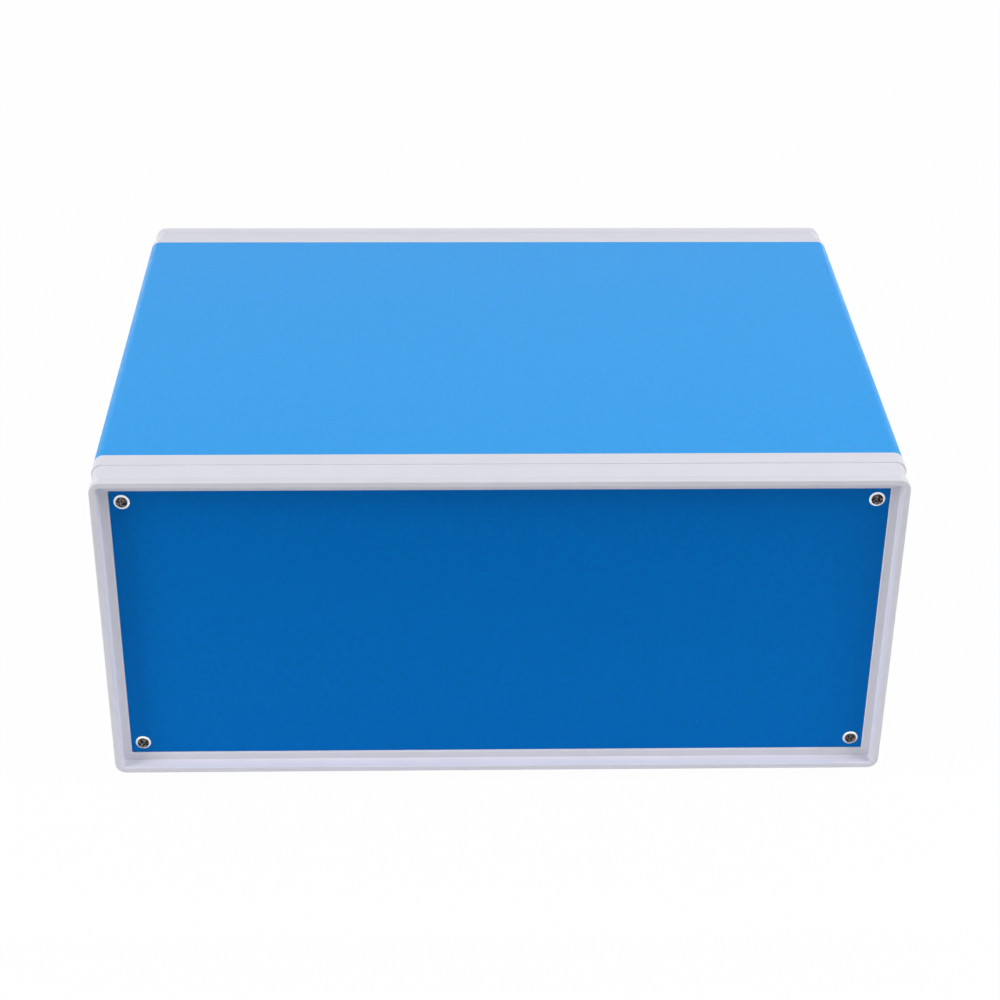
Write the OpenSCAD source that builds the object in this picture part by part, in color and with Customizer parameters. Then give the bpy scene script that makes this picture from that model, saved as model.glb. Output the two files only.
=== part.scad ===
// Project box. Two moulded end frames hold a folded top cover and a folded bottom cover between
// them, and a flat panel drops into the front of each frame. Each panel screw passes through its
// panel and a boss of the frame into a threaded ear of the cover, so eight screws hold it all.
// X runs across the case, +Y from the front to the back, and Z up from the underside of the feet.

/* [Case] */
// Outside width of the case
case_w = 250; // [200:1:320]
// Outside depth of the case, from rim to rim
case_d = 190; // [150:1:260]
// Outside height of the case without its feet
case_h = 110; // [100:1:150]
// Height of the seam between the covers above the case's underside
seam_h = 55; // [45:1:60]

/* [End frames] */
// Width of the rim round the front of a frame
rim_w = 2; // [1.6:0.1:2.4]
// Depth of the rim's outside before the taper
rim_d = 3; // [2:0.1:4]
// Outside corner radius of the rim
rim_r = 3.6; // [3:0.1:6]
// Set-in of the rim from the case outline
rim_inset = 0.45; // [0:0.05:0.5]
// Rounding of the rim's two front edges
rim_edge_r = 0.3; // [0.2:0.05:0.8]
// Depth of the tapered band behind the rim
taper_d = 7.5; // [5:0.5:12]
// Set-in of the tapered band behind the rim
taper_front_inset = 1.05; // [0.6:0.05:1.4]
// Set-in of the tapered band where it meets the cover band
taper_back_inset = 0.35; // [0.1:0.05:0.4]
// Depth of the front frame's band next to the covers
front_band_d = 6; // [3:0.1:10]
// Depth of the rear frame's band next to the covers
rear_band_d = 3.5; // [3:0.1:10]
// Corner radius of the band next to the covers
band_r = 3.4; // [2:0.1:4]
// Set-back of the flat surround round the panel from the rim
surround_recess = 3.8; // [3:0.1:6]
// Lean of the ledge between the rim and the surround
ledge_draft = 0.5; // [0.1:0.1:0.6]
// Corner radius of the ledge at the surround
ledge_r = 0.5; // [0.3:0.1:1]
// Width of the surround
surround_w = 2.7; // [1.5:0.1:5]
// Corner radius of the opening for the panel
opening_r = 0.3; // [0.3:0.1:2]
// Chamfer round the opening for the panel
opening_edge = 0.4; // [0.2:0.1:0.6]
// Width of the seat behind the panel's edge
seat_w = 3; // [2:0.1:4]
// Thickness of the seat
seat_t = 2; // [1.5:0.1:3]
// Corner radius of the opening inside the seat
seat_r = 3; // [1:0.1:6]
// Outside diameter of the corner bosses
boss_d = 7.4; // [6:0.1:8]
// Thickness of the ribs between a boss and the frame's wall
rib_t = 1.6; // [1:0.1:2.4]
// Reach of the tongues into the covers
tongue_l = 6; // [4:0.5:10]
// Thickness of the tongues
tongue_t = 1.6; // [1.2:0.1:2.4]
// Gap between a tongue and the cover round it
tongue_gap = 0.2; // [0.1:0.05:0.4]
// Distance from the ends of the tongues to the ears of the covers
tongue_ear_gap = 4; // [2:0.5:10]

/* [Panels] */
// Thickness of the panels
panel_t = 1.2; // [0.8:0.1:2]
// Gap between a panel's edge and the frame
panel_gap = 0.1; // [0.05:0.05:0.6]
// Set-back of a panel's face from the surround
panel_sink = 0.5; // [0:0.1:1]
// Distance of the screws from the edges of the opening for the panel
screw_edge = 3.9; // [3.8:0.1:5]

/* [Covers] */
// Thickness of the covers
cover_t = 1; // [0.8:0.1:1.4]
// Outside radius of the covers' long bends
cover_bend_r = 3.4; // [2:0.1:4]
// Set-in of the covers from the frames' bands
cover_inset = 0; // [0:0.05:0.4]
// Height of the bottom cover's lap behind the top cover
lap_h = 8; // [5:0.5:12]
// Gap between the lap and the top cover
lap_gap = 0.15; // [0.1:0.05:0.4]
// Gap of the seam between the covers
seam_gap = 0.3; // [0.2:0.05:0.8]
// Height of the ears that take the panel screws
ear_h = 10; // [9:0.5:12]
// Reach of an ear past its screw
ear_past = 4.5; // [3.5:0.1:8]
// Outside radius of an ear's bend
ear_bend_r = 2; // [1.6:0.1:2.4]
// Corner radius of an ear's free end
ear_corner_r = 2; // [1:0.1:4]
// Width of the relief cut on each side of an ear's bend
ear_relief = 1; // [0.6:0.1:1.2]
// Diameter of the drawn collar round an ear's thread
collar_d = 4; // [3.6:0.1:5]
// Height of the drawn collar behind an ear
collar_h = 1; // [0.6:0.1:1.6]

/* [Vents] */
// Number of slots in each side of each cover
vent_n = 11; // [3:1:13]
// Width of a slot
vent_w = 2.5; // [1.5:0.1:3]
// Length of a slot
vent_l = 24; // [10:1:28]
// Distance between neighbouring slots
vent_pitch = 8; // [5:0.5:8]

/* [Panel screws] */
// Thread diameter of the panel screws
screw_d = 2.5; // [2:0.1:3]
// Head diameter of the panel screws
screw_head_d = 5; // [4.4:0.1:5.6]
// Height of the raised part of a panel screw's countersunk head
screw_dome_h = 0.5; // [0.3:0.1:0.8]
// Reach of a panel screw past the ear's collar
screw_past = 1.3; // [0.5:0.1:4]
// Gap round a screw where it passes through a piece
screw_gap = 0.15; // [0.1:0.05:0.3]
// Gap round a screw in its thread
thread_gap = 0.05; // [0.02:0.01:0.1]

/* [Feet] */
// Diameter of a foot against the bottom cover
foot_d = 14; // [10:0.5:18]
// Diameter of a foot at the floor
foot_tip_d = 12; // [10:0.5:14]
// Height of the feet
foot_h = 5; // [5:0.5:12]
// Rounding of a foot's lower edge
foot_edge_r = 0.8; // [0.3:0.1:1]
// Thickness of the rubber above a foot's pocket
foot_web = 2; // [1.5:0.1:2.2]
// Diameter of the pocket in a foot
foot_pocket_d = 7.4; // [7.2:0.1:8]
// Distance of the feet from the sides of the case
foot_side = 25; // [18:1:60]
// Distance of the feet from the front and the back of the case
foot_end = 34; // [30:1:60]
// Thread diameter of the foot screws
foot_screw_d = 3; // [2.5:0.1:3.4]
// Head diameter of the foot screws
foot_screw_head_d = 5.6; // [5:0.1:6.4]
// Head height of the foot screws
foot_screw_head_h = 2; // [1.5:0.1:2]
// Reach of a foot screw past its nut
foot_screw_past = 0.8; // [0.3:0.1:3]
// Outside diameter of the washers in the feet
washer_d = 7; // [6.4:0.1:7]
// Thickness of the washers
washer_t = 0.5; // [0.4:0.1:0.8]
// Width of the nuts across their flats
nut_af = 5.5; // [5:0.1:7]
// Thickness of the nuts
nut_t = 2.4; // [1.6:0.1:3]

/* [Hidden] */
$fn = 64;

// Overlap of a cut past the face that it opens
cut = 1;
blue = [0.18, 0.53, 0.84];
deep_blue = [0.03, 0.40, 0.70];
pale_grey = [0.86, 0.86, 0.90];
plated = [0.78, 0.79, 0.81];
rubber_black = [0.08, 0.08, 0.08];

// Height of the case's underside and middle above the floor
case_z = foot_h - cover_inset;
mid_z = case_z + case_h / 2;
// Seam, measured from the middle of the case
seam_y = seam_h - case_h / 2;

// Distances in from the case outline
corner_in = rim_inset + rim_r;
wall_in = rim_inset + rim_w + ledge_draft;
plate_in = (taper_front_inset + wall_in) / 2;
open_in = wall_in + surround_w;
seat_in = open_in + seat_w;
screw_in = open_in + screw_edge;
cover_in = cover_inset + cover_t;
tongue_in = cover_in + tongue_gap;
ear_in = screw_in + ear_past;

// Depths behind the rim
band_start = rim_d + taper_d;
panel_face = surround_recess + panel_sink;
seat_start = panel_face + panel_t;
front_end = band_start + front_band_d;
rear_end = band_start + rear_band_d;
cover_l = case_d - front_end - rear_end;

// Joggle of the bottom cover's lap, bent at 45 degrees
jog = cover_t + lap_gap;
jog_top = seam_y - seam_gap / 2;
jog_turn = cover_t * tan(22.5);
wall_top = jog_top - jog - jog_turn;

// Heights of the vents' middles, each between the bend and the seam's edge of its cover
top_vent_y = (seam_y + lap_h + case_h / 2 - cover_bend_r) / 2;
bottom_vent_y = (wall_top - case_h / 2 + cover_bend_r) / 2;

// Proportions of a screw's head, over its diameter: the radius of a pan head's crown, and the cross
// recess's reach and middle, both at its mouth and at its foot, and the width of its arms
head_crown = 0.8;
recess_reach = [0.8, 0.34];
recess_middle = [0.6, 0.28];
recess_arm = 0.2;
// Depth of the recess over the head's height
recess_depth = 0.6;
// Turn of each panel screw's cross
screw_turns = [15, 62, 38, 80];

// Places the front end: X across, Y up from the middle of the case, Z the depth behind the rim
module at_front() {
    translate([0, -case_d / 2, mid_z])
        mirror([0, 1, 0])
            rotate([90, 0, 0])
                children();
}

// Places the rear end in the same way, seen from behind the case
module at_rear() {
    translate([0, case_d / 2, mid_z])
        rotate([90, 0, 0])
            children();
}

// Repeats a shape at the four panel screws, with the number of the screw in $screw
module at_screws() {
    for (column = [0, 1], row = [0, 1]) {
        $screw = 2 * column + row;
        translate([(2 * column - 1) * (case_w / 2 - screw_in), (2 * row - 1) * (case_h / 2 - screw_in)])
            children();
    }
}

// Rounded rectangle centred on the origin
module rounded_rect(w, h, r) {
    square([w - 2 * r, h], center = true);
    square([w, h - 2 * r], center = true);
    for (x = [-1, 1], y = [-1, 1])
        translate([x * (w / 2 - r), y * (h / 2 - r)])
            circle(r);
}

// Case outline set in by a distance
module outline(inset, r) {
    rounded_rect(case_w - 2 * inset, case_h - 2 * inset, r);
}

// Section of a frame's outside from the rim to the end of the taper.
// Its x runs outwards from the centre of the rim's corner, its y is the depth behind the rim.
module outside_section() {
    rim_inner = rim_r - rim_w + rim_edge_r;
    polygon([
        [rim_inner, 0],
        [rim_r - rim_edge_r, 0],
        [rim_r, rim_edge_r],
        [rim_r, rim_d],
        [corner_in - taper_front_inset, rim_d + taper_front_inset - rim_inset],
        [corner_in - taper_back_inset, band_start],
        [corner_in - wall_in, band_start],
        [corner_in - wall_in, surround_recess],
        [rim_inner, surround_recess]
    ]);
    translate([rim_r - rim_edge_r, rim_edge_r])
        circle(rim_edge_r);
}

// Section of a frame's inside, the ledge from the rim to the surround.
// Its x runs outwards from the centre of the ledge's corner, its y is the depth behind the rim.
module ledge_section() {
    rim_inner = ledge_r + ledge_draft;
    polygon([
        [ledge_r, surround_recess],
        [rim_inner, rim_edge_r],
        [rim_inner + rim_edge_r, 0],
        [rim_inner + rim_w / 2, 0],
        [rim_inner + rim_w / 2, surround_recess]
    ]);
    translate([rim_inner + rim_edge_r, rim_edge_r])
        circle(rim_edge_r);
}

// Carries a section round the case: four straight bars, and four quarter turns about centres that
// lie a distance in from the case outline
module sweep_outline(centre_in) {
    half_w = case_w / 2 - centre_in;
    half_h = case_h / 2 - centre_in;
    for (turn = [0 : 3]) {
        across = turn % 2 == 0 ? half_w : half_h;
        along = turn % 2 == 0 ? half_h : half_w;
        rotate(90 * turn)
            translate([across, along, 0]) {
                rotate([90, 0, 0])
                    linear_extrude(2 * along)
                        children();
                rotate_extrude(angle = 90)
                    children();
            }
    }
}

// Flat bar of a tongue, from inside the band to its reach behind it
module tongue(length, end) {
    root = end - tongue_gap - cover_t;
    translate([-length / 2, -tongue_t, root])
        cube([length, tongue_t, end + tongue_l - root]);
}

// Tongues inside the top, the bottom and the two halves of each side
module tongues(end) {
    corner = ear_in + tongue_ear_gap;
    side_ends = [
        [wall_top - tongue_ear_gap, -case_h / 2 + corner],
        [case_h / 2 - corner, seam_y + lap_h + tongue_ear_gap]
    ];
    for (side = [0, 1])
        rotate(180 * side)
            translate([0, case_h / 2 - tongue_in])
                tongue(case_w - 2 * corner, end);
    for (side = [-1, 1], ends = side_ends)
        translate([side * (case_w / 2 - tongue_in), (ends[0] + ends[1]) / 2])
            rotate(-90 * side)
                tongue(ends[0] - ends[1], end);
}

// Boss behind the panel seat for one screw, tied to the nearest walls by two ribs
module boss(end) {
    translate([0, 0, seat_start])
        cylinder(d = boss_d, h = end - seat_start);
    column = $screw < 2 ? -1 : 1;
    row = $screw % 2 == 0 ? -1 : 1;
    rib_l = screw_in - plate_in;
    for (way = [[column, 0], [0, row]])
        translate([way[0] * rib_l / 2, way[1] * rib_l / 2, (seat_start + end) / 2])
            cube([
                way[0] == 0 ? rib_t : rib_l,
                way[1] == 0 ? rib_t : rib_l,
                end - seat_start
            ], center = true);
}

// Wedge that chamfers the edge of the opening for the panel
module opening_chamfer() {
    past = opening_edge / 4;
    translate([0, 0, surround_recess])
        sweep_outline(open_in + opening_r)
            polygon([
                [opening_r - past, -past],
                [opening_r + opening_edge + past, -past],
                [opening_r - past, opening_edge + past]
            ]);
}

// Room for one panel screw: a countersink from the panel's face and a bore to a depth behind the rim
module screw_room(depth) {
    bore_d = screw_d + 2 * screw_gap;
    cone_h = (screw_head_d - bore_d) / 2;
    cylinder(d = bore_d, h = depth);
    translate([0, 0, panel_face - cut])
        cylinder(d = screw_head_d, h = cut);
    translate([0, 0, panel_face])
        cylinder(d1 = screw_head_d, d2 = bore_d, h = cone_h);
}

// Moulded end frame, with its rim at z = 0 and its tongues towards +z
module end_frame(end) {
    difference() {
        union() {
            sweep_outline(corner_in)
                outside_section();
            sweep_outline(wall_in + ledge_r)
                ledge_section();
            translate([0, 0, band_start])
                linear_extrude(end - band_start)
                    difference() {
                        outline(0, band_r);
                        outline(wall_in, corner_in - wall_in);
                    }
            translate([0, 0, surround_recess])
                linear_extrude(panel_sink + panel_t + seat_t)
                    difference() {
                        outline(plate_in, corner_in - plate_in);
                        outline(seat_in, seat_r);
                    }
            at_screws()
                boss(end);
            tongues(end);
        }
        translate([0, 0, surround_recess - cut])
            linear_extrude(panel_sink + panel_t + cut)
                outline(open_in, opening_r);
        opening_chamfer();
        at_screws()
            screw_room(end + cut);
    }
}

module front_frame() {
    color(pale_grey)
        at_front()
            end_frame(front_end);
}

module rear_frame() {
    color(pale_grey)
        at_rear()
            end_frame(rear_end);
}

// Flat panel that drops into the frame's opening and lies on the seat
module panel() {
    difference() {
        translate([0, 0, panel_face])
            linear_extrude(panel_t)
                outline(open_in + panel_gap, opening_r);
        at_screws()
            screw_room(seat_start + cut);
    }
}

module front_panel() {
    color(deep_blue)
        at_front()
            panel();
}

module rear_panel() {
    color(deep_blue)
        at_rear()
            panel();
}

// Cross recess with its mouth at z = 0, where all of it gets narrower towards its foot
module cross_recess(head_d, depth) {
    rise = cut / depth;
    reach = recess_reach * head_d / 2;
    middle = recess_middle * head_d;
    mouth = reach[0] + rise * (reach[0] - reach[1]);
    for (arm = [0, 1])
        rotate([90, 0, 90 * arm])
            linear_extrude(recess_arm * head_d, center = true)
                polygon([[-mouth, -cut], [mouth, -cut], [reach[1], depth], [-reach[1], depth]]);
    translate([0, 0, -cut])
        cylinder(d1 = middle[0] + rise * (middle[0] - middle[1]), d2 = middle[1], h = depth + cut);
}

// Shank of a screw from z = 0 to its length, with a tapered tip
module shank(d, length) {
    tip_h = d / 4;
    cylinder(d = d, h = length - tip_h);
    translate([0, 0, length - tip_h])
        cylinder(d1 = d, d2 = d / 2, h = tip_h);
}

// Pan-head screw with a cross recess, its head below z = 0 and its thread above
module pan_head_screw(d, length, head_d, head_h) {
    crown_r = head_crown * head_d;
    difference() {
        union() {
            intersection() {
                translate([0, 0, -head_h])
                    cylinder(d = head_d, h = head_h);
                translate([0, 0, crown_r - head_h])
                    sphere(crown_r);
            }
            shank(d, length);
        }
        translate([0, 0, -head_h])
            cross_recess(head_d, recess_depth * head_h);
    }
}

// Countersunk screw with a raised head and a cross recess, its head's rim at z = 0 and its thread above
module raised_head_screw(d, length, head_d, dome_h) {
    dome_r = (head_d * head_d / 4 + dome_h * dome_h) / (2 * dome_h);
    cone_h = (head_d - d) / 2;
    difference() {
        union() {
            intersection() {
                translate([-head_d, -head_d, -dome_h])
                    cube([2 * head_d, 2 * head_d, dome_h]);
                translate([0, 0, dome_r - dome_h])
                    sphere(dome_r);
            }
            cylinder(d1 = head_d, d2 = d, h = cone_h);
            shank(d, length);
        }
        translate([0, 0, -dome_h])
            cross_recess(head_d, recess_depth * (dome_h + cone_h));
    }
}

// Screws of one end: through the panel, the frame's boss, the ear and its collar
module panel_screws(end) {
    length = end - panel_face + cover_t + collar_h + screw_past;
    at_screws()
        translate([0, 0, panel_face])
            rotate(screw_turns[$screw])
                raised_head_screw(screw_d, length, screw_head_d, screw_dome_h);
}

module front_panel_screws() {
    color(plated)
        at_front()
            panel_screws(front_end);
}

module rear_panel_screws() {
    color(plated)
        at_rear()
            panel_screws(rear_end);
}

// Section of both covers together
module cover_section() {
    difference() {
        outline(cover_inset, cover_bend_r);
        outline(cover_in, cover_bend_r - cover_t);
    }
}

module top_cover_section() {
    intersection() {
        cover_section();
        translate([-case_w / 2, seam_y + seam_gap / 2])
            square([case_w, case_h]);
    }
}

// The bottom cover's sides step in at the seam and go on behind the top cover
module bottom_cover_section() {
    intersection() {
        cover_section();
        translate([-case_w / 2, wall_top - case_h])
            square([case_w, case_h]);
    }
    outer = case_w / 2 - cover_inset;
    lap = outer - jog;
    for (side = [0, 1])
        mirror([side, 0])
            polygon([
                [outer, wall_top],
                [outer, jog_top - jog],
                [lap, jog_top],
                [lap, seam_y + lap_h],
                [lap - cover_t, seam_y + lap_h],
                [lap - cover_t, jog_top - jog_turn],
                [outer - cover_t, wall_top]
            ]);
}

// Runs a cover's section from the front frame to the rear frame
module cover_run() {
    translate([0, case_d / 2 - rear_end, mid_z])
        rotate([90, 0, 0])
            linear_extrude(cover_l)
                children();
}

// Bent-in ear on the right-hand side wall, at the height of the screw, with its edge at z = 0.
// Its x runs inwards from the outside of the wall.
module ear() {
    free = ear_in - cover_inset;
    hole = screw_in - cover_inset;
    translate([0, ear_h / 2, 0])
        rotate([90, 0, 0])
            linear_extrude(ear_h)
                intersection() {
                    square(ear_bend_r);
                    translate([ear_bend_r, ear_bend_r])
                        difference() {
                            circle(ear_bend_r);
                            circle(ear_bend_r - cover_t);
                        }
                }
    difference() {
        union() {
            linear_extrude(cover_t) {
                translate([ear_bend_r, -ear_h / 2])
                    square([free - ear_corner_r - ear_bend_r, ear_h]);
                translate([free - 2 * ear_corner_r, -ear_h / 2 + ear_corner_r])
                    square([2 * ear_corner_r, ear_h - 2 * ear_corner_r]);
                for (side = [-1, 1])
                    translate([free - ear_corner_r, side * (ear_h / 2 - ear_corner_r)])
                        circle(ear_corner_r);
            }
            translate([hole, 0, 0])
                cylinder(d = collar_d, h = cover_t + collar_h);
        }
        translate([hole, 0, -cut])
            cylinder(d = screw_d + 2 * thread_gap, h = cover_t + collar_h + 2 * cut);
    }
}

// Places a shape of the ears on both sides and both ends of a cover, row -1 below and 1 above
module at_ears(row) {
    place = [case_w / 2 - cover_inset, row * (case_h / 2 - screw_in)];
    for (side = [0, 1])
        mirror([side, 0, 0]) {
            at_front()
                translate([place[0], place[1], front_end])
                    mirror([1, 0, 0])
                        children();
            at_rear()
                translate([place[0], place[1], rear_end])
                    mirror([1, 0, 0])
                        children();
        }
}

// Cut in a side wall's end where an ear bends in, with a relief on both sides
module ear_notch() {
    height = ear_h + 2 * ear_relief;
    translate([-cut, -height / 2, -cut])
        cube([cover_t + 2 * cut, height, ear_bend_r + cut]);
}

// Row of upright slots through both side walls, at a height from the middle of the case
module vents(height) {
    first = (front_end - rear_end) / 2 - vent_pitch * (vent_n - 1) / 2;
    straight = vent_l - vent_w;
    for (slot = [0 : vent_n - 1])
        translate([-case_w / 2, first + slot * vent_pitch, mid_z + height])
            rotate([90, 0, 90])
                linear_extrude(case_w) {
                    square([vent_w, straight], center = true);
                    for (end = [-1, 1])
                        translate([0, end * straight / 2])
                            circle(d = vent_w);
                }
}

module top_cover() {
    color(blue)
        difference() {
            union() {
                difference() {
                    cover_run()
                        top_cover_section();
                    at_ears(1)
                        ear_notch();
                }
                at_ears(1)
                    ear();
            }
            vents(top_vent_y);
        }
}

module bottom_cover() {
    color(blue)
        difference() {
            union() {
                difference() {
                    cover_run()
                        bottom_cover_section();
                    at_ears(-1)
                        ear_notch();
                }
                at_ears(-1)
                    ear();
            }
            vents(bottom_vent_y);
            at_feet()
                cylinder(d = foot_screw_d + 2 * screw_gap, h = foot_h + cover_t + cut);
        }
}

// Places a shape on the floor under one foot: x is -1 left or 1 right, y is -1 front or 1 rear
module at_foot(x, y) {
    translate([x * (case_w / 2 - foot_side), y * (case_d / 2 - foot_end), 0])
        children();
}

// Places a shape under all four feet
module at_feet() {
    for (x = [-1, 1], y = [-1, 1])
        at_foot(x, y)
            children();
}

// Tapered rubber foot with a pocket for the screw's head and washer
module foot() {
    pocket_h = foot_h - foot_web;
    hole_r = foot_screw_d / 2 + screw_gap;
    rotate_extrude() {
        polygon([
            [hole_r, pocket_h],
            [foot_pocket_d / 2, pocket_h],
            [foot_pocket_d / 2, 0],
            [foot_tip_d / 2 - foot_edge_r, 0],
            [foot_tip_d / 2, foot_edge_r],
            [foot_d / 2, foot_h],
            [hole_r, foot_h]
        ]);
        translate([foot_tip_d / 2 - foot_edge_r, foot_edge_r])
            circle(foot_edge_r);
    }
}

module foot_front_left() {
    color(rubber_black)
        at_foot(-1, -1)
            foot();
}

module foot_front_right() {
    color(rubber_black)
        at_foot(1, -1)
            foot();
}

module foot_rear_left() {
    color(rubber_black)
        at_foot(-1, 1)
            foot();
}

module foot_rear_right() {
    color(rubber_black)
        at_foot(1, 1)
            foot();
}

// Flat ring, standing on z = 0
module washer() {
    linear_extrude(washer_t)
        difference() {
            circle(d = washer_d);
            circle(d = foot_screw_d + 2 * screw_gap);
        }
}

module foot_washers() {
    color(plated)
        at_feet()
            translate([0, 0, foot_h - foot_web - washer_t])
                washer();
}

// Foot screws, each with its head under the washer and its thread up through the nut
module foot_screws() {
    length = washer_t + foot_web + cover_t + nut_t + foot_screw_past;
    color(plated)
        at_feet()
            translate([0, 0, foot_h - foot_web - washer_t])
                pan_head_screw(foot_screw_d, length, foot_screw_head_d, foot_screw_head_h);
}

// Hexagonal nut, standing on z = 0
module nut() {
    difference() {
        cylinder(d = nut_af / cos(30), h = nut_t, $fn = 6);
        translate([0, 0, -cut])
            cylinder(d = foot_screw_d + 2 * thread_gap, h = nut_t + 2 * cut);
    }
}

module foot_nuts() {
    color(plated)
        at_feet()
            translate([0, 0, foot_h + cover_t])
                nut();
}

front_frame();
rear_frame();
top_cover();
bottom_cover();
front_panel();
rear_panel();
front_panel_screws();
rear_panel_screws();
foot_front_left();
foot_front_right();
foot_rear_left();
foot_rear_right();
foot_washers();
foot_screws();
foot_nuts();
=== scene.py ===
import math

import bmesh
import bpy
from mathutils import Matrix, Vector


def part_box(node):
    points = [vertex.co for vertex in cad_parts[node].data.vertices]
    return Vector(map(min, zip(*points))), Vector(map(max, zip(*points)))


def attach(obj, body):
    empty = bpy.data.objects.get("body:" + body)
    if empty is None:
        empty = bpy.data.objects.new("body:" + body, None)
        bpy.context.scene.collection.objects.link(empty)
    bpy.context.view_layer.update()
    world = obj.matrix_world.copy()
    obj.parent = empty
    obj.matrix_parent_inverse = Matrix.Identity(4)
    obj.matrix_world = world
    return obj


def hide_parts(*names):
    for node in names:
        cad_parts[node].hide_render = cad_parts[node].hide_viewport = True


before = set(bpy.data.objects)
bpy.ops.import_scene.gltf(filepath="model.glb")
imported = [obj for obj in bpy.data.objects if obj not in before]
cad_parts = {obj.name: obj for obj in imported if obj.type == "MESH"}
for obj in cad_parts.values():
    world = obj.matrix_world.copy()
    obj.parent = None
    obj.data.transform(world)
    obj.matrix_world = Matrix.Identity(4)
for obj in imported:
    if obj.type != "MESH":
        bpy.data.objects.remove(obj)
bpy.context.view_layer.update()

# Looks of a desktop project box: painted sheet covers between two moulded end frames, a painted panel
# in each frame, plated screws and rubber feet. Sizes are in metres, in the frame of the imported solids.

MM = 0.001

# Camera: where it stands, how far it looks down, is turned and rolls, its lens and sensor, which are
# written in millimetres, and the distance from which it sees
CAMERA_PLACE = Vector((-18.0, -665.5, 446.65)) * MM
CAMERA_DOWN = math.radians(30.666)
CAMERA_TURN = math.radians(-1.760)
CAMERA_ROLL = math.radians(0.670)
CAMERA_LENS = 78.82
SENSOR_WIDTH = 36.0
NEAR_CLIP = 0.01

# Studio: each lamp's place, the point it is aimed at, the sides of its soft box, its watts and its tint
BOX_MIDDLE = (0.0, 0.0, 0.055)
WARM = (1.0, 0.98, 0.935)
WARMER = (1.0, 0.965, 0.89)
COOL = (0.92, 0.97, 1.0)
LAMPS = {
    "right_key": ((0.9, -0.35, 0.9), BOX_MIDDLE, (0.5, 0.5), 7.8, WARM),
    "left_key": ((-0.9, -0.35, 0.9), BOX_MIDDLE, (0.5, 0.5), 3.4, WARM),
    "left_strip": ((-1.1, -0.42, 0.45), BOX_MIDDLE, (0.3, 0.6), 6.2, WARMER),
    "right_strip": ((1.1, -0.32, 0.3), BOX_MIDDLE, (0.2, 0.5), 1.7, WARMER),
    "low_front": ((0.0, -0.17, 0.022), (0.0, 0.0, 0.022), (0.6, 0.03), 0.026, WARM),
    "overhead": ((0.0, 0.1, 1.3), BOX_MIDDLE, (1.5, 1.5), 6.8, COOL),
    "rear_fill": ((0.0, 1.5, 0.9), BOX_MIDDLE, (1.6, 0.8), 1.2, COOL),
    "rear_low": ((0.0, 1.1, 0.055), BOX_MIDDLE, (1.4, 0.1), 2.8, WARM),
}

# Floor and surroundings: even light from all round, then the floor's size, paint and share of plain white
AMBIENT = 0.01
FLOOR_RADIUS = 6.0
FLOOR_STEPS = 64
FLOOR_COLOUR = (0.85, 0.85, 0.85, 1.0)
FLOOR_ROUGHNESS = 0.9
FLOOR_WHITE = 0.98

# Edges: how far the sharp outside edges of each kind of piece are rounded, and in how many steps
FRAME_EDGE = 0.14 * MM
COVER_EDGE = 0.15 * MM
PANEL_EDGE = 0.06 * MM
FOOT_EDGE = 0.25 * MM
WASHER_EDGE = 0.1 * MM
NUT_EDGE = 0.2 * MM
EDGE_STEPS = 2

# Meshes: the turn from which an edge is rounded, the turn from which a screw's edge is shaded as a crease,
# the area below which a face is a mere sliver, the turn below which faces count as one flat face, the
# distance within which corners merge, and how strongly large faces lead the shading
ROUND_ANGLE = math.radians(50)
SHARP_ANGLE = math.radians(30)
SLIVER = 0.03 * MM ** 2
FLAT_ANGLE = math.radians(0.2)
MERGE_DISTANCE = 2e-6
LARGE_FACE_WEIGHT = 100

# Screws: thread, pitch, head, and the head's height above and below its seat; and the turn in degrees of
# each panel screw's cross, by column and row
PANEL_SCREW = {"thread": 2.5 * MM, "pitch": 0.45 * MM, "head": 5.0 * MM, "top": 0.5 * MM, "sunk": 1.25 * MM}
FOOT_SCREW = {"thread": 3.0 * MM, "pitch": 0.5 * MM, "head": 5.6 * MM, "top": 2.0 * MM, "sunk": 0.0}
PANEL_SCREW_TURNS = {(-1, -1): 15, (-1, 1): 62, (1, -1): 38, (1, 1): 80}

# Heads, in shares of their diameter: the radius of a pan head's crown and shoulder, and the lip at the rim;
# and the share of a raised head's dome that is left where its rim turns down
CROWN = 0.8
SHOULDER = 0.12
LIP = 0.02
DOME_SHARE = 0.98

# Cross recess, in shares of the head's diameter: the arms' width, then how far the arms, the round middle
# and the dish go across, at the mouth and at the foot
RECESS_ARM = 0.2
RECESS_REACH = (0.8, 0.34)
RECESS_MIDDLE = (0.6, 0.28)
DISH = (1.05, 0.62)

# Cross recess, in shares of the head's height: its depth, the dish's depth, and how far the cutters stand out
RECESS_DEPTH = 0.6
DISH_DEPTH = 0.22
CUTTER_RISE = 0.5

# Threads, in shares of their pitch: how deep the core and the ridge's foot lie, and half the ridge's width at
# its foot and at its crest; and the share of its height that is left at the ridge's ends
CORE_DEPTH = 0.6
RIDGE_DEPTH = 0.61
RIDGE_FOOT = 0.42
RIDGE_CREST = 0.06
END_HEIGHT = 0.3

# Ends of the shanks, in shares of the thread's diameter: how long the tapered tip is and how far from the end
# the ridge stops; and the tip's end in shares of the core
TIP = 0.25
PLAIN_END = 0.35
TIP_END = 0.5

# Steps over a pan head's crown and shoulder, over a raised head's dome, round a head and round a thread
CROWN_STEPS = 8
SHOULDER_STEPS = 6
DOME_STEPS = 10
HEAD_STEPS = 64
TURN_STEPS = 20

# Stretch of a noise's values over which a colour or a roughness runs, and the narrower one over which the
# recesses' painted shade breaks into painted glints
NOISE_ENDS = (0.3, 0.7)
PAINTED_GLINT_ENDS = (0.42, 0.58)

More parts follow.
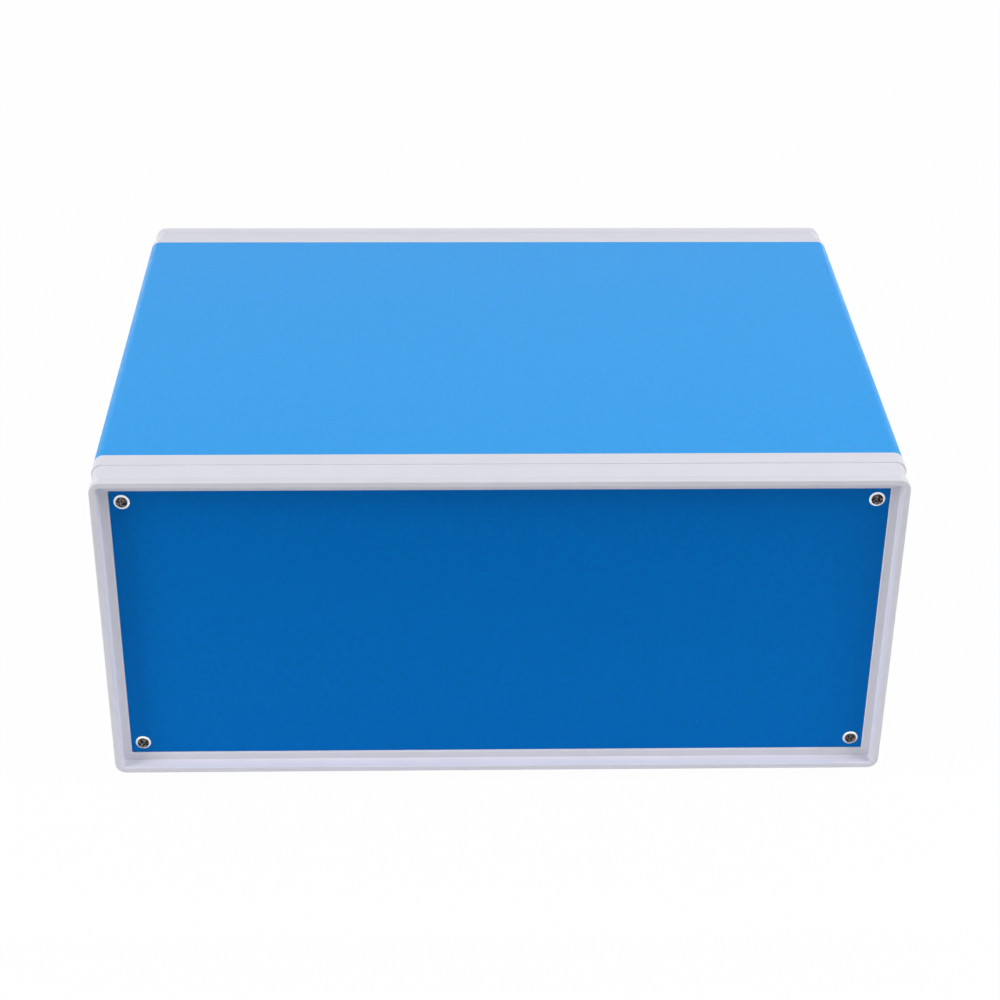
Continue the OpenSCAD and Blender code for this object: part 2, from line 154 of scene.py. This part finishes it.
# Colours of the finishes: one alone, or the darker and the lighter shade of a grain
PLASTIC_GREY = ((0.720, 0.722, 0.817), (0.740, 0.742, 0.838))
# The covers' blue and the panels' blue stand for one paint, lighter on the covers as painted light and darker
# on the panels as painted shade
COVER_BLUE_PAINTED_LIGHT = ((0.009, 0.324, 0.835), (0.013, 0.354, 0.905))
PANEL_BLUE_PAINTED_SHADE = ((0.0, 0.153, 0.55), (0.0, 0.172, 0.61))
PANEL_SHEEN = (0.1, 0.45, 1.0)
NICKEL = (0.76, 0.77, 0.80)
# The recesses' colours are painted shade, near black to dark grey, with lighter spots as painted glints
NICKEL_RECESS_PAINTED_SHADE = ((0.004, 0.004, 0.005), (0.18, 0.165, 0.16))
ZINC = (0.62, 0.63, 0.66)
# The zinc recesses' colour is painted shade as well, darker than the zinc
ZINC_RECESS_PAINTED_SHADE = ((0.16, 0.16, 0.17), (0.36, 0.36, 0.37))
RUBBER = (0.018, 0.018, 0.019)
RUBBER_BLACK = ((0.014, 0.014, 0.015), (0.024, 0.024, 0.025))


def make_camera():
    """Camera of the main view."""
    data = bpy.data.cameras.new("camera")
    data.lens = CAMERA_LENS
    data.sensor_width = SENSOR_WIDTH
    data.clip_start = NEAR_CLIP
    camera = bpy.data.objects.new("camera", data)
    turn = Matrix.Rotation(CAMERA_TURN, 4, "Z")
    tilt = Matrix.Rotation(math.pi / 2 - CAMERA_DOWN, 4, "X")
    roll = Matrix.Rotation(CAMERA_ROLL, 4, "Z")
    camera.matrix_world = Matrix.Translation(CAMERA_PLACE) @ turn @ tilt @ roll
    bpy.context.scene.collection.objects.link(camera)
    bpy.context.scene.camera = camera


def make_lamps():
    """Soft boxes round the box, none of them in the picture itself."""
    for name, (place, aim, sides, power, tint) in LAMPS.items():
        data = bpy.data.lights.new(name, "AREA")
        data.shape = "RECTANGLE"
        data.size, data.size_y = sides
        data.energy = power
        data.color = tint
        lamp = bpy.data.objects.new(name, data)
        lamp.location = place
        lamp.rotation_euler = (Vector(aim) - lamp.location).to_track_quat("-Z", "Y").to_euler()
        lamp.visible_camera = False
        bpy.context.scene.collection.objects.link(lamp)


def seen_white(tree):
    """Light path factor that is 1 for what the eye, a gloss or a glass shows, and 0 for plain light."""
    path = tree.nodes.new("ShaderNodeLightPath")
    either = tree.nodes.new("ShaderNodeMath")
    either.operation = "MAXIMUM"
    tree.links.new(path.outputs["Is Camera Ray"], either.inputs[0])
    tree.links.new(path.outputs["Is Glossy Ray"], either.inputs[1])
    every = tree.nodes.new("ShaderNodeMath")
    every.operation = "MAXIMUM"
    tree.links.new(either.outputs[0], every.inputs[0])
    tree.links.new(path.outputs["Is Transmission Ray"], every.inputs[1])
    return every.outputs[0]


def make_world():
    """White surroundings to look at, and a weaker even light on the box."""
    world = bpy.data.worlds.new("studio")
    world.use_nodes = True
    tree = world.node_tree
    background = tree.nodes["Background"]
    background.inputs["Color"].default_value = (1.0, 1.0, 1.0, 1.0)
    strength = tree.nodes.new("ShaderNodeMapRange")
    strength.inputs["To Min"].default_value = AMBIENT
    strength.inputs["To Max"].default_value = 1.0
    tree.links.new(seen_white(tree), strength.inputs["Value"])
    tree.links.new(strength.outputs[0], background.inputs["Strength"])
    bpy.context.scene.world = world


def make_floor():
    """Pale floor that looks nearly white and keeps the shadow of the box."""
    bm = bmesh.new()
    bmesh.ops.create_circle(bm, cap_ends=True, radius=FLOOR_RADIUS, segments=FLOOR_STEPS)
    floor = add_object("floor", bm)
    paint = bpy.data.materials.new("floor_paint")
    paint.use_nodes = True
    tree = paint.node_tree
    shader = tree.nodes["Principled BSDF"]
    shader.inputs["Base Color"].default_value = FLOOR_COLOUR
    shader.inputs["Roughness"].default_value = FLOOR_ROUGHNESS
    shader.inputs["Specular IOR Level"].default_value = 0.0
    glow = tree.nodes.new("ShaderNodeEmission")
    share = tree.nodes.new("ShaderNodeMath")
    share.operation = "MULTIPLY"
    share.inputs[1].default_value = FLOOR_WHITE
    tree.links.new(seen_white(tree), share.inputs[0])
    mix = tree.nodes.new("ShaderNodeMixShader")
    tree.links.new(share.outputs[0], mix.inputs["Fac"])
    tree.links.new(shader.outputs[0], mix.inputs[1])
    tree.links.new(glow.outputs[0], mix.inputs[2])
    tree.links.new(mix.outputs[0], tree.nodes["Material Output"].inputs["Surface"])
    floor.data.materials.append(paint)


def add_object(name, bm):
    """New object at the origin from a bmesh, which it frees."""
    mesh = bpy.data.meshes.new(name)
    bm.to_mesh(mesh)
    bm.free()
    piece = bpy.data.objects.new(name, mesh)
    bpy.context.scene.collection.objects.link(piece)
    return piece


def new_finish(name, colour, roughness, metallic=0.0, shine=0.5, tint=(1.0, 1.0, 1.0)):
    """Material with plain values on its shader's own sockets."""
    finish = bpy.data.materials.new(name)
    finish.use_nodes = True
    shader = finish.node_tree.nodes["Principled BSDF"]
    shader.inputs["Base Color"].default_value = (*colour, 1.0)
    shader.inputs["Roughness"].default_value = roughness
    shader.inputs["Metallic"].default_value = metallic
    shader.inputs["Specular IOR Level"].default_value = shine
    shader.inputs["Specular Tint"].default_value = (*tint, 1.0)
    return finish


def grain(finish, size, detail=2.0):
    """Even noise through the piece with grains of about this size; returns its 0 to 1 output."""
    tree = finish.node_tree
    place = tree.nodes.new("ShaderNodeTexCoord")
    noise = tree.nodes.new("ShaderNodeTexNoise")
    noise.inputs["Scale"].default_value = 1.0 / size
    noise.inputs["Detail"].default_value = detail
    tree.links.new(place.outputs["Object"], noise.inputs["Vector"])
    return noise.outputs[0]


def vary_colour(finish, pattern, shades, ends=NOISE_ENDS):
    """Base colour that runs from a darker to a lighter shade over a stretch of a pattern."""
    tree = finish.node_tree
    ramp = tree.nodes.new("ShaderNodeValToRGB")
    for stop, end, shade in zip(ramp.color_ramp.elements, ends, shades):
        stop.position = end
        stop.color = (*shade, 1.0)
    tree.links.new(pattern, ramp.inputs["Fac"])
    tree.links.new(ramp.outputs["Color"], tree.nodes["Principled BSDF"].inputs["Base Color"])


def vary_roughness(finish, pattern, low, high):
    """Roughness that runs between two values with a pattern."""
    tree = finish.node_tree
    spread = tree.nodes.new("ShaderNodeMapRange")
    spread.inputs["From Min"].default_value = NOISE_ENDS[0]
    spread.inputs["From Max"].default_value = NOISE_ENDS[1]
    spread.inputs["To Min"].default_value = low
    spread.inputs["To Max"].default_value = high
    tree.links.new(pattern, spread.inputs["Value"])
    tree.links.new(spread.outputs[0], tree.nodes["Principled BSDF"].inputs["Roughness"])


def raise_grain(finish, pattern, height, under=None):
    """Bump of a given height from a pattern, laid over an earlier bump if there is one."""
    tree = finish.node_tree
    bump = tree.nodes.new("ShaderNodeBump")
    bump.inputs["Distance"].default_value = height
    tree.links.new(pattern, bump.inputs["Height"])
    if under:
        tree.links.new(under, bump.inputs["Normal"])
    tree.links.new(bump.outputs[0], tree.nodes["Principled BSDF"].inputs["Normal"])
    return bump.outputs[0]


def frame_plastic():
    """Pale grey moulded plastic with a fine satin grain."""
    finish = new_finish("moulded_grey_plastic", PLASTIC_GREY[1], roughness=0.45)
    vary_colour(finish, grain(finish, size=9 * MM), PLASTIC_GREY)
    fine = grain(finish, size=0.3 * MM)
    vary_roughness(finish, fine, low=0.40, high=0.52)
    raise_grain(finish, fine, height=0.012 * MM)
    return finish


def blue_paint(name, shades, shine, tint=(1.0, 1.0, 1.0)):
    """Baked paint on steel sheet: soft waves under a fine grain."""
    finish = new_finish(name, shades[1], roughness=0.45, shine=shine, tint=tint)
    vary_colour(finish, grain(finish, size=1.1 * MM, detail=3.0), shades)
    fine = grain(finish, size=0.4 * MM)
    vary_roughness(finish, fine, low=0.40, high=0.55)
    waves = raise_grain(finish, grain(finish, size=1.6 * MM), height=0.04 * MM)
    raise_grain(finish, fine, height=0.012 * MM, under=waves)
    return finish


def screw_plating():
    """Bright nickel plating with a very fine grain."""
    finish = new_finish("bright_nickel", NICKEL, roughness=0.18, metallic=1.0)
    fine = grain(finish, size=0.15 * MM)
    vary_roughness(finish, fine, low=0.14, high=0.26)
    raise_grain(finish, fine, height=0.002 * MM)
    return finish


def zinc_plating():
    """Clear zinc plating, duller than the nickel."""
    finish = new_finish("clear_zinc", ZINC, roughness=0.35, metallic=1.0)
    fine = grain(finish, size=0.2 * MM)
    vary_roughness(finish, fine, low=0.28, high=0.45)
    raise_grain(finish, fine, height=0.003 * MM)
    return finish


def painted_recess_shade(name, shades):
    """Painted shade for the plating inside a recess, near black to dark grey, mottled with lighter painted
    glints, with a duller roughness.
    """
    finish = new_finish(name, shades[1], roughness=0.42, metallic=1.0)
    vary_colour(finish, grain(finish, size=0.6 * MM, detail=3.0), shades, PAINTED_GLINT_ENDS)
    fine = grain(finish, size=0.12 * MM)
    vary_roughness(finish, fine, low=0.36, high=0.52)
    raise_grain(finish, fine, height=0.004 * MM)
    return finish


def foot_rubber():
    """Matt black rubber with a slight mould texture."""
    finish = new_finish("black_rubber", RUBBER, roughness=0.75, shine=0.3)
    vary_colour(finish, grain(finish, size=1.5 * MM), RUBBER_BLACK)
    fine = grain(finish, size=0.25 * MM)
    vary_roughness(finish, fine, low=0.65, high=0.85)
    raise_grain(finish, fine, height=0.02 * MM)
    return finish


def round_edges(bm, width):
    """Rounds the sharp outside edges, apart from those of slivers, and marks the sharp inside ones."""
    bm.normal_update()
    sharp = [edge for edge in bm.edges if edge.calc_face_angle() > ROUND_ANGLE]
    outside = []
    for edge in sharp:
        edge.smooth = edge.is_convex
        if edge.is_convex and min(face.calc_area() for face in edge.link_faces) > SLIVER:
            outside.append(edge)
    bmesh.ops.bevel(bm, geom=outside, offset=width, offset_type="OFFSET", affect="EDGES",
                    segments=EDGE_STEPS, profile=0.5, material=-1, clamp_overlap=False)


def softened_copy(node, width, finish):
    """Piece in place of a solid: the same form with its outside edges rounded as the real one has them."""
    bm = bmesh.new()
    bm.from_mesh(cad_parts[node].data)
    bmesh.ops.remove_doubles(bm, verts=bm.verts, dist=MERGE_DISTANCE)
    bmesh.ops.dissolve_limit(bm, angle_limit=FLAT_ANGLE, verts=bm.verts, edges=bm.edges)
    round_edges(bm, width)
    for face in bm.faces:
        face.smooth = True
        face.material_index = 0
    piece = add_object(node + "_piece", bm)
    piece.data.materials.clear()
    piece.data.materials.append(finish)
    shading = piece.modifiers.new("even_shading", "WEIGHTED_NORMAL")
    shading.weight = LARGE_FACE_WEIGHT
    shading.keep_sharp = True
    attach(piece, "root")
    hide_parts(node)


def turned_body(profile, steps):
    """Solid turned about Z from radius and height pairs that start and end on the axis."""
    bm = bmesh.new()
    corners = [bm.verts.new((radius, 0.0, height)) for radius, height in profile]
    lines = [bm.edges.new(pair) for pair in zip(corners, corners[1:])]
    bmesh.ops.spin(bm, geom=corners + lines, cent=(0, 0, 0), axis=(0, 0, 1), angle=2 * math.pi,
                   steps=steps, use_merge=True)
    bmesh.ops.remove_doubles(bm, verts=bm.verts, dist=MERGE_DISTANCE)
    bmesh.ops.recalc_face_normals(bm, faces=bm.faces)
    return bm


def pan_head(size):
    """Outline of a pan head: crown, rounded shoulder, side and underside."""
    radius = size["head"] / 2
    crown = CROWN * size["head"]
    middle = size["top"] - crown
    shoulder = SHOULDER * size["head"]
    centre = radius - shoulder
    reach = crown - shoulder
    slope = math.asin(centre / reach)
    rise = middle + reach * math.cos(slope)
    turns = [slope * k / CROWN_STEPS for k in range(CROWN_STEPS)]
    points = [(crown * math.sin(turn), middle + crown * math.cos(turn)) for turn in turns]
    for k in range(SHOULDER_STEPS + 1):
        turn = slope + (math.pi / 2 - slope) * k / SHOULDER_STEPS
        points.append((centre + shoulder * math.sin(turn), rise + shoulder * math.cos(turn)))
    lip = LIP * size["head"]
    points += [(radius, lip), (radius - lip, 0.0), (0.0, 0.0)]
    return points


def raised_head(size):
    """Outline of a raised countersunk head: low dome, rim and cone."""
    radius = size["head"] / 2
    dome = (radius ** 2 + size["top"] ** 2) / (2 * size["top"])
    slope = DOME_SHARE * math.asin(radius / dome)
    turns = [slope * k / DOME_STEPS for k in range(DOME_STEPS + 1)]
    points = [(dome * math.sin(turn), size["top"] - dome + dome * math.cos(turn)) for turn in turns]
    lip = LIP * size["head"]
    points += [(radius - lip / 4, 0.0), (radius - lip, -lip)]
    points += [(size["thread"] / 2, -size["sunk"]), (0.0, -size["sunk"])]
    return points


def sunk_cross(head, size, recess):
    """Head with a cross recess that narrows towards its foot."""
    height = size["top"] + size["sunk"]
    depth = RECESS_DEPTH * height
    foot = size["top"] - depth
    over = CUTTER_RISE * height
    reach = (1 + over / depth) * RECESS_REACH[0] - over / depth * RECESS_REACH[1]
    cutters = []
    for arm in (0, 1):
        bm = bmesh.new()
        bmesh.ops.create_cube(bm, size=1.0)
        for vert in bm.verts:
            vert.co.x *= size["head"] * (reach if vert.co.z > 0 else RECESS_REACH[1])
            vert.co.y *= size["head"] * RECESS_ARM
            vert.co.z = size["top"] + over if vert.co.z > 0 else foot
        quarter = Matrix.Rotation(arm * math.pi / 2, 3, "Z")
        bmesh.ops.rotate(bm, cent=(0, 0, 0), matrix=quarter, verts=bm.verts)
        cutters.append(add_object("recess_arm", bm))
    for (mouth, end), share in ((RECESS_MIDDLE, RECESS_DEPTH), (DISH, DISH_DEPTH)):
        deep = share * height
        top = (1 + over / deep) * mouth - over / deep * end
        bm = bmesh.new()
        bmesh.ops.create_cone(bm, cap_ends=True, segments=HEAD_STEPS, radius1=size["head"] * end / 2,
                              radius2=size["head"] * top / 2, depth=deep + over)
        bmesh.ops.translate(bm, vec=(0, 0, size["top"] + (over - deep) / 2), verts=bm.verts)
        cutters.append(add_object("recess_middle", bm))
    for cutter in cutters:
        # The cut faces take the recess finish, which is painted shade with painted glints
        cutter.data.materials.append(recess)
        cut = head.modifiers.new("recess", "BOOLEAN")
        cut.operation = "DIFFERENCE"
        cut.solver = "EXACT"
        cut.material_mode = "TRANSFER"
        cut.object = cutter
    bpy.context.view_layer.update()
    seen = head.evaluated_get(bpy.context.evaluated_depsgraph_get())
    mesh = bpy.data.meshes.new_from_object(seen)
    for used in cutters + [head]:
        bpy.data.objects.remove(used)
    return mesh


def thread_ridge(size, length):
    """Helical ridge of the thread below the head, which runs out at both of its ends."""
    crest = size["thread"] / 2
    root = crest - RIDGE_DEPTH * size["pitch"]
    flank = RIDGE_FOOT * size["pitch"]
    flat = RIDGE_CREST * size["pitch"]
    start = -size["sunk"] - size["pitch"]
    turns = (length - PLAIN_END * size["thread"] + start) / size["pitch"]
    steps = int(turns * TURN_STEPS)
    bm = bmesh.new()
    section = [(root, flank), (crest, flat), (crest, -flat), (root, -flank)]
    corners = [bm.verts.new((radius, 0.0, start + height)) for radius, height in section]
    lines = [bm.edges.new((corners[k - 1], corners[k])) for k in range(len(corners))]
    bmesh.ops.spin(bm, geom=corners + lines, cent=(0, 0, 0), axis=(0, 0, 1),
                   dvec=(0, 0, -size["pitch"] / TURN_STEPS), angle=2 * math.pi * steps / TURN_STEPS,
                   steps=steps)
    bmesh.ops.holes_fill(bm, edges=[edge for edge in bm.edges if edge.is_boundary], sides=4)
    end = start - steps * size["pitch"] / TURN_STEPS
    for vert in bm.verts:
        run = min(start - vert.co.z, vert.co.z - end) / size["pitch"]
        radius = vert.co.xy.length
        height = max(0.0, min(1.0, run + END_HEIGHT))
        vert.co.xy *= (root + (radius - root) * height) / radius
    bmesh.ops.recalc_face_normals(bm, faces=bm.faces)
    return bm


def screw_mesh(size, length, plating, recess):
    """One screw, its seat at the origin, its head up and its thread down."""
    profile = raised_head(size) if size["sunk"] else pan_head(size)
    head = add_object("screw_head", turned_body(profile, HEAD_STEPS))
    head.data.materials.append(plating)
    mesh = sunk_cross(head, size, recess)
    root = size["thread"] / 2 - CORE_DEPTH * size["pitch"]
    neck = -size["sunk"]
    tip = TIP * size["thread"] - length
    shank = [(0.0, neck), (root, neck), (root, tip), (TIP_END * root, -length), (0.0, -length)]
    core = turned_body(shank, TURN_STEPS)
    ridge = thread_ridge(size, length)
    bm = bmesh.new()
    bm.from_mesh(mesh)
    for part in (core, ridge):
        shape = bpy.data.meshes.new("shank")
        part.to_mesh(shape)
        part.free()
        bm.from_mesh(shape)
        bpy.data.meshes.remove(shape)
    bm.to_mesh(mesh)
    bm.free()
    return mesh


def screw_set(node, size, axis, places, length, plating, recess):
    """Screws of one node: the same screw set in at each place, with its head along an axis."""
    screw = screw_mesh(size, length, plating, recess)
    lean = Vector((0, 0, 1)).rotation_difference(Vector(axis)).to_matrix().to_4x4()
    bm = bmesh.new()
    for place, turn in places:
        first = len(bm.verts)
        bm.from_mesh(screw)
        bm.verts.ensure_lookup_table()
        spin = Matrix.Rotation(math.radians(turn), 4, "Z")
        bmesh.ops.transform(bm, matrix=Matrix.Translation(place) @ lean @ spin, verts=bm.verts[first:])
    for face in bm.faces:
        face.smooth = True
    piece = add_object(node + "_set", bm)
    for finish in (plating, recess):
        piece.data.materials.append(finish)
    piece.data.set_sharp_from_angle(angle=SHARP_ANGLE)
    bpy.data.meshes.remove(screw)
    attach(piece, "root")
    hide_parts(node)


def panel_screw_set(end, plating, recess):
    """Screws that hold a panel, where the solids of that end are."""
    node = end + "_panel_screws"
    low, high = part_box(node)
    side = -1 if end == "front" else 1
    panel_low, panel_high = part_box(end + "_panel")
    seat = panel_low[1] if side < 0 else panel_high[1]
    length = high[1] - seat if side < 0 else seat - low[1]
    inset = PANEL_SCREW["head"] / 2
    places = []
    for (column, row), turn in PANEL_SCREW_TURNS.items():
        across = (low[0] + inset) if column < 0 else (high[0] - inset)
        up = (low[2] + inset) if row < 0 else (high[2] - inset)
        places.append(((across, seat, up), -side * turn))
    screw_set(node, PANEL_SCREW, (0, side, 0), places, length, plating, recess)


def foot_screw_set(plating, recess):
    """Screws that hold the feet, heads down."""
    low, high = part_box("foot_screws")
    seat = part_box("foot_washers")[0][2]
    inset = FOOT_SCREW["head"] / 2
    across = (low[0] + inset, high[0] - inset)
    along = (low[1] + inset, high[1] - inset)
    places = [((x, y, seat), 0) for x in across for y in along]
    screw_set("foot_screws", FOOT_SCREW, (0, 0, -1), places, high[2] - seat, plating, recess)


make_camera()
make_lamps()
make_world()
make_floor()

plastic = frame_plastic()
# One blue paint in two copies: painted light on the covers, painted shade on the panels
cover_paint = blue_paint("blue_cover_paint_painted_light", COVER_BLUE_PAINTED_LIGHT, shine=0.35)
panel_paint = blue_paint("blue_panel_paint_painted_shade", PANEL_BLUE_PAINTED_SHADE, shine=0.1, tint=PANEL_SHEEN)
nickel = screw_plating()
# Recess finishes: painted shade with painted glints inside the cross recesses and their dishes
nickel_recess_painted_shade = painted_recess_shade("nickel_recess_painted_shade", NICKEL_RECESS_PAINTED_SHADE)
zinc = zinc_plating()
zinc_recess_painted_shade = painted_recess_shade("zinc_recess_painted_shade", ZINC_RECESS_PAINTED_SHADE)
rubber = foot_rubber()

for end in ("front", "rear"):
    softened_copy(end + "_frame", FRAME_EDGE, plastic)
    softened_copy(end + "_panel", PANEL_EDGE, panel_paint)
    panel_screw_set(end, nickel, nickel_recess_painted_shade)
for cover in ("top_cover", "bottom_cover"):
    softened_copy(cover, COVER_EDGE, cover_paint)
for corner in ("front_left", "front_right", "rear_left", "rear_right"):
    softened_copy("foot_" + corner, FOOT_EDGE, rubber)
softened_copy("foot_washers", WASHER_EDGE, zinc)
foot_screw_set(zinc, zinc_recess_painted_shade)
softened_copy("foot_nuts", NUT_EDGE, zinc)

bpy.context.scene.view_settings.view_transform = "Standard"
